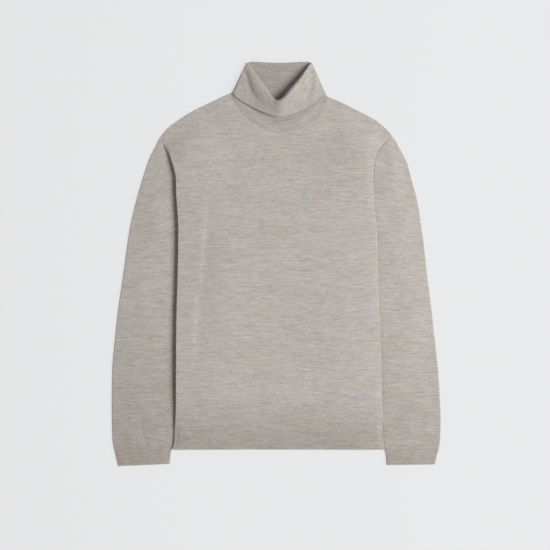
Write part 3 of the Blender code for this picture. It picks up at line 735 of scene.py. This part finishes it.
for side, sign, slope in (("left", -1.0, SHOULDER_LEFT), ("right", 1.0, SHOULDER_RIGHT)):
    plan, at = spline(np.array(slope) * (sign, 1.0), 1.3)
    way = unit(np.gradient(plan, axis=0))
    normal = np.stack([-way[:, 1], way[:, 0]], axis=1)
    normal = normal * np.sign(normal[:, 1:])
    turn = np.linspace(-BAND_BEND, BAND_BEND, 13)
    # It tapers over the last 14 mm towards the neck and over the first 6 at the armhole.
    out = (np.cos(turn) * BAND_OUT - BAND_IN) * ease((at[-1] - at[:, None]) / 14) * ease(at[:, None] / 6)
    up = HALF + PITCH / 2 + np.sin(np.clip(turn, -math.pi / 2, math.pi / 2)) * BAND_HALF
    xy = plan[:, None] + normal[:, None] * out[..., None]
    points = np.concatenate([xy, np.broadcast_to(up[None, :, None], (*xy.shape[:2], 1))], axis=-1)
    knit = np.stack([np.broadcast_to(turn * 1.5, xy.shape[:2]), at[:, None] + 0 * xy[..., 0]], axis=-1)
    knitted(f"shoulder_linking_{side}", points, knit, jersey, thick=BAND_THICK)

# ------------------------ hem rib
# Two bands of fine one-by-one rib, linked to the panels' lower edges and seamed at the sides. The rib
# pulls in a little, so it bellies between its seam and its edge.

RIB_BELLY = 1.1
# Painted shade: the hem rib darkens towards its lower edge, and the cuffs are dark all over.
rib = wool("fine wool rib", wale=0.0012, rib=0.2, depth=0.00014, shade_span=(-0.235, -0.35))


def rib_relief(x, y):
    """A belly across the band, a skewed arch that is level at the seam and steepest at the edge."""
    share = np.clip((RIB_TOP - y) / (RIB_TOP - HEM), 0, 1)
    return RIB_BELLY * np.sin(math.pi * share**0.7) + front_relief(x, y) * ease(1 - share * 2)


rib_rows = np.linspace(HEM, RIB_TOP, 20)
points, knit = body_panel(rib_rows, FRONT_TURN, 1, neck_edge, 0.0, 14, rib_relief)
hem_front = knitted("hem_rib_front_knit", points, knit, rib, "hem_rib_front")
points, knit = body_panel(rib_rows, BACK_TURN, 0, neck_edge, 0.0, 8)
hem_back = knitted("hem_rib_back_knit", points, knit, rib, "hem_rib_back")

# ------------------------ cuffs
# A short tube of the same rib on each sleeve, linked to its lower end and narrower than it. It lies
# flat, and its free edge is a little aslant.

CUFF_COLUMNS = ("y_out", "x_out", "y_in", "x_in")
CUFF_ROWS = {
    "left": (
        (-351.1, 313.0, -351.1, 198.4), (-359.0, 311.2, -358.5, 201.3), (-368.0, 309.2, -366.5, 203.0),
        (-388.55, 304.4, -384.1, 204.2),
    ),
    "right": (
        (-353.7, 312.5, -353.7, 206.6), (-361.0, 310.7, -361.0, 208.6), (-369.0, 308.6, -369.5, 210.2),
        (-385.1, 304.8, -386.4, 211.6),
    ),
}
CUFF_BELLY = 0.5  # height that the upper side bellies by, away from both folds

for side, sign, flat in (("left", -1.0, (0.2, 0.038)), ("right", 1.0, (0.19, 0.036))):
    at = np.linspace(0, 3, 19)
    y_out, x_out, y_in, x_in = (
        smooth_curve(np.arange(4), column(CUFF_ROWS[side], CUFF_COLUMNS, name))(at)[:, None]
        for name in CUFF_COLUMNS
    )
    width = (x_out - x_in)[:, 0]
    across, height, upper, place = flat_tube(width, width, 0 * at, 0 * at, 1 + 0 * at, CROWN[side])
    share = across / width[:, None]
    x, y = sign * (x_out - across), y_out + (y_in - y_out) * share
    belly = upper * CUFF_BELLY * np.sin(math.pi * at / 3)[:, None]
    height = height + belly * ease(share * 6) * ease((1 - share) * 6)
    knit = np.stack([sign * (place - place[:, [OUTER_FOLD]] + YARN_AWAY), y], axis=-1)
    points = np.stack([x, y, height], axis=-1)
    closed = np.ones(len(at), bool)
    cuff = knitted(f"cuff_rib_{side}_knit", points, knit, rib, f"cuff_rib_{side}", joined_rows=closed)

# ------------------------ roll collar
# One tube linked round the neck, folded over and brought down again to a loose edge. Its back half
# lies flat under the front half, which stands in a fat roll where the neck opens in a V.

# Ways in plan that the flattened tube bulges at its two sides: higher up, and at the base on each side
SIDE_OUT, BASE_OUT_LEFT, BASE_OUT_RIGHT = (0.5, 0.24), (0.55, 0.83), (0.41, 0.91)
STAND_RISE, KNEE_SHARE = 2.0 * BACK_TURN, 0.25  # how far the stand rises, and where the knee is on its way
RAMP_ENDS, RAMP_MORE = 0.2, 0.7  # share of the way up in which it rises, and how much more in the middle
NECK_POINTS, SIDE_POINTS = 73, 7  # across the neck, and round each side of the flattened ring
STAND_RINGS, NECK_RINGS, ROLL_RINGS, FALL_RINGS = 9, 12, 19, 30  # from the base up, over and down
# The turned-down layer's creases, as on the front: x, y, height, half width
COLLAR_CREASES = (
    ((-63.5, 377, 0.0, 4), (-60.3, 367, -1.2, 4.1), (-55, 356.8, -1.7, 4.4), (-52, 343.4, -1.7, 4.6),
     (-48.8, 333.8, -1.5, 4.8), (-44, 324.2, -1.0, 5), (-38.5, 314, -0.9, 5.5), (-27, 306.5, -0.8, 6),
     (-13, 300, -0.5, 7), (2, 293, 0.0, 7)),
    ((-55, 378, 0.0, 7), (-52, 370, 2.0, 8), (-47.5, 361, 3.0, 9.5), (-43.5, 352, 3.7, 11.5),
     (-38.5, 343.4, 3.9, 12.5), (-33.5, 333.8, 3.9, 13), (-27.5, 325, 3.7, 13), (-19, 316, 3.0, 13),
     (-8, 306, 1.9, 12), (6, 298, 0.9, 11), (20, 290, 0.0, 10)),
    ((-60, 378, 0.0, 7), (-69, 357, 0.9, 8), (-77, 338, 1.1, 9), (-79, 322, 0.0, 9)),
    ((60.5, 378, 0.0, 5.5), (64.5, 367, -1.2, 6), (66.5, 354, -1.4, 6.5), (64, 334, -0.8, 6.5),
     (60, 316, -0.5, 6.5), (52, 296, 0.0, 6.5)),
    ((69, 382, 0.0, 6), (75, 367, 1.0, 6.5), (78, 354, 1.3, 7), (75, 334, 0.8, 7.5), (71, 316, 0.5, 7.5),
     (62, 298, 0.0, 7)),
)


def collar_grid():
    """The collar's points and knit coordinates, round the neck and from its base up, over and down.

    Seen from above, its front and back halves lie on each other, so each ring is a flattened loop: a
    place in plan, moved up or down by half of the loop's thickness, and outward at its two ends. The
    roll is a half circle about its centre line, and beyond it the layer falls evenly to the loose edge.
    Also gives which faces get painted shade: those from the stand up to the top of the roll.
    """
    across_neck, flat = np.linspace(0, 1, NECK_POINTS), np.ones(NECK_POINTS)
    bend = np.linspace(0, math.pi, SIDE_POINTS + 2)[1:-1]
    p = np.concatenate([across_neck, np.ones(SIDE_POINTS), across_neck[::-1], np.zeros(SIDE_POINTS)])
    front = np.arange(len(p)) < NECK_POINTS + SIDE_POINTS / 2
    up = np.concatenate([flat, np.cos(bend), -flat, -np.cos(bend)])
    side = np.concatenate([0 * flat, np.sin(bend), 0 * flat, -np.sin(bend)])
    tables = (collar_front, collar_back)

    def both(values):
        """The front's values on the front half of the ring, and the back's on the back half."""
        return np.where(front.reshape((-1,) + (1,) * (values[0].ndim - 1)), values[0], values[1])

    base, knee, crest, free = (
        both([rail(table, p, name) for table in tables]) for name in ("base", "knee", "crest", "free")
    )
    roll, gape, edge = (both([table[name](p) for table in tables]) for name in ("roll", "gape", "edge"))
    into, out = unit(crest - knee), unit(crest - free)
    ramp = RAMP_ENDS + RAMP_MORE * np.where(front, np.sin(math.pi * p) ** 2, 0.0)
    base_out = np.where(p[:, None] < 0.5, BASE_OUT_LEFT, BASE_OUT_RIGHT)
    side_out = np.tile(SIDE_OUT, (len(p), 1))
    rings, level = [], HALF + BACK_TURN

    def add_ring(plan, half, centre, outward=side_out, relief=0.0):
        """One ring, half its thickness above and below the height of its centre."""
        x = plan[:, 0] + side * half * outward[:, 0]
        y = plan[:, 1] + np.abs(side) * half * outward[:, 1]
        z = centre + up * half + np.maximum(up, 0) * front * relief * creases(x, y, COLLAR_CREASES)
        rings.append(np.stack([x, y, z], axis=-1))

    standing = np.full(len(p), BACK_TURN)
    for share in np.linspace(0, 1, STAND_RINGS):
        outward = base_out * (1 - share) + side_out * share
        centre = level + STAND_RISE * ease(KNEE_SHARE * share / ramp)
        add_ring(base + (knee - base) * share, standing, centre, outward)
    top = crest - into * (HALF + roll)[:, None]
    for share in np.linspace(0, 1, NECK_RINGS + 2)[1:-1]:
        risen = ease((KNEE_SHARE + (1 - KNEE_SHARE) * share) / ramp)
        centre = level + STAND_RISE * risen + gape * share**2
        add_ring(knee + (top - knee) * share, standing, centre)
    centre = level + STAND_RISE + gape
    for turn in np.linspace(0, math.pi, ROLL_RINGS):
        way = unit(into + (out - into) * turn / math.pi)
        plan = crest - way * (HALF + roll * (1 - math.sin(turn)))[:, None]
        add_ring(plan, BACK_TURN + roll * (1 - math.cos(turn)), centre, relief=(1 - math.cos(turn)) / 2)
    top = crest - out * (HALF + roll)[:, None]
    for share in np.linspace(0, 1, FALL_RINGS + 1)[1:]:
        half = 3 * BACK_TURN + 2 * (roll - BACK_TURN) * (1 - share) + edge * share
        centre = level + STAND_RISE + gape * (1 - share)
        add_ring(top + (free - top) * share, half, centre, relief=ease((1 - share) * 6))
    grid = np.array(rings)
    grid_closed = np.concatenate([grid, grid[:, :1]], axis=1)
    round_it = np.linalg.norm(np.diff(grid_closed, axis=1), axis=2).mean(0)
    u = np.concatenate([[0], np.cumsum(round_it)])
    up_it = np.cumsum(np.linalg.norm(np.diff(grid_closed, axis=0), axis=2), axis=0)
    v = np.concatenate([np.zeros((1, grid.shape[1] + 1)), up_it])
    row = np.arange(len(grid) - 1)[:, None]
    roll_top = STAND_RINGS + NECK_RINGS + ROLL_RINGS // 2 - 1
    # The faces that get painted shade: inside the V and under the roll
    inside = (row < roll_top) & ((row >= STAND_RINGS) | ~front)
    return grid, np.stack([np.broadcast_to(u, v.shape), v], axis=-1), inside


# Painted shade: the collar is the body's yarn, with its colours multiplied by 0.91.
collar_knit = wool("fine wool collar", tone=0.91, wale=0.0015, rib=0.25, depth=0.00014)
# Painted shade: the faces inside the V and under the roll, with colours multiplied by 0.83 rather than
# 0.91.
painted_shade_collar = wool("fine wool collar, painted shade", tone=0.83, wale=0.0015, rib=0.25, depth=0.00018)
points, knit, inside = collar_grid()
collar = knitted("roll_collar_knit", points, knit, collar_knit, "roll_collar", joined_round=True)
collar.data.materials.append(painted_shade_collar)
collar.data.polygons.foreach_set("material_index", inside.ravel().astype(np.int32))

# How large the chain is round the neck: less where the collar sits on it, in the middle and at the ends
NECK_FADE = (
    (0.0, 0.5), (0.06, 1.0), (0.42, 1.0), (0.5, 0.45), (0.56, 0.45), (0.66, 1.0), (0.95, 1.0), (1.0, 0.6)
)
p = np.linspace(0.005, 0.995, 560)
plan = rail(collar_front, p, "base")
fade = np.interp(p, *np.array(NECK_FADE).T)
chain("neck_linking", plan, np.full(len(p), HALF + PITCH + KNIT / 2), fade=fade)

# ------------------------ table, light and camera
# A pale table that glows softly from within, so that shadows on it are faint. One broad soft lamp
# stands to the right, and the room gives an even fill, more from the level than from above. The camera
# looks straight down.

table_mesh = bpy.data.meshes.new("table")
table_mesh.from_pydata([(-4, -4, 0), (4, -4, 0), (4, 4, 0), (-4, 4, 0)], [], [(0, 1, 2, 3)])
table = bpy.data.objects.new("table", table_mesh)
bpy.context.scene.collection.objects.link(table)
glow = bpy.data.materials.new("light table")
glow.use_nodes = True
for key, value in (
    ("Base Color", (0.1, 0.1, 0.1025, 1)), ("Roughness", 0.9),
    ("Emission Color", (0.985, 0.99, 1.0, 1)), ("Emission Strength", 0.7),
):
    glow.node_tree.nodes["Principled BSDF"].inputs[key].default_value = value
table_mesh.materials.append(glow)

# Degrees from the right and up; metres away and across; watts
LAMP_AZIMUTH, LAMP_HEIGHT, LAMP_AWAY, LAMP_SIZE, LAMP_POWER = -3.0, 42.0, 4.5, 2.8, 235.0
lamp_data = bpy.data.lights.new("window lamp", "AREA")
lamp_data.shape, lamp_data.size, lamp_data.energy = "DISK", LAMP_SIZE, LAMP_POWER
lamp = bpy.data.objects.new("window lamp", lamp_data)
azimuth, height = math.radians(LAMP_AZIMUTH), math.radians(LAMP_HEIGHT)
lamp.location = (
    LAMP_AWAY * math.cos(height) * math.cos(azimuth),
    LAMP_AWAY * math.cos(height) * math.sin(azimuth),
    LAMP_AWAY * math.sin(height),
)
bpy.context.scene.collection.objects.link(lamp)
lamp.rotation_euler = (-lamp.location).to_track_quat("-Z", "Y").to_euler()

ROOM_OVERHEAD, ROOM_SIDES = 0.17, 0.6  # light from straight above, and how much more from the level
world = bpy.data.worlds.new("room")
bpy.context.scene.world = world
world.use_nodes = True
room = world.node_tree
room_light = room.nodes["Background"]
room_light.inputs["Color"].default_value = (1.0, 0.985, 0.965, 1)
direction = room.nodes.new("ShaderNodeSeparateXYZ")
room.links.new(room.nodes.new("ShaderNodeTexCoord").outputs["Generated"], direction.inputs[0])
lower = maths(room, "SUBTRACT", 1.0, maths(room, "ABSOLUTE", direction.outputs["Z"]))
strength = maths(room, "MULTIPLY_ADD", maths(room, "MULTIPLY", lower, lower), ROOM_SIDES, ROOM_OVERHEAD)
room.links.new(strength, room_light.inputs["Strength"])

bpy.context.scene.view_settings.view_transform = "Standard"
# Millimetres of lens and sensor; metres across the view, and where its middle is
LENS, SENSOR, VIEW_WIDTH, VIEW_MIDDLE = 100.0, 36.0, 1.056, (-0.0026, -0.0214, 0.004)
camera_data = bpy.data.cameras.new("camera")
camera_data.lens, camera_data.sensor_width = LENS, SENSOR
camera = bpy.data.objects.new("camera", camera_data)
camera.location = (*VIEW_MIDDLE[:2], VIEW_MIDDLE[2] + VIEW_WIDTH / 2 / (SENSOR / 2 / LENS))
bpy.context.scene.collection.objects.link(camera)
bpy.context.scene.camera = camera
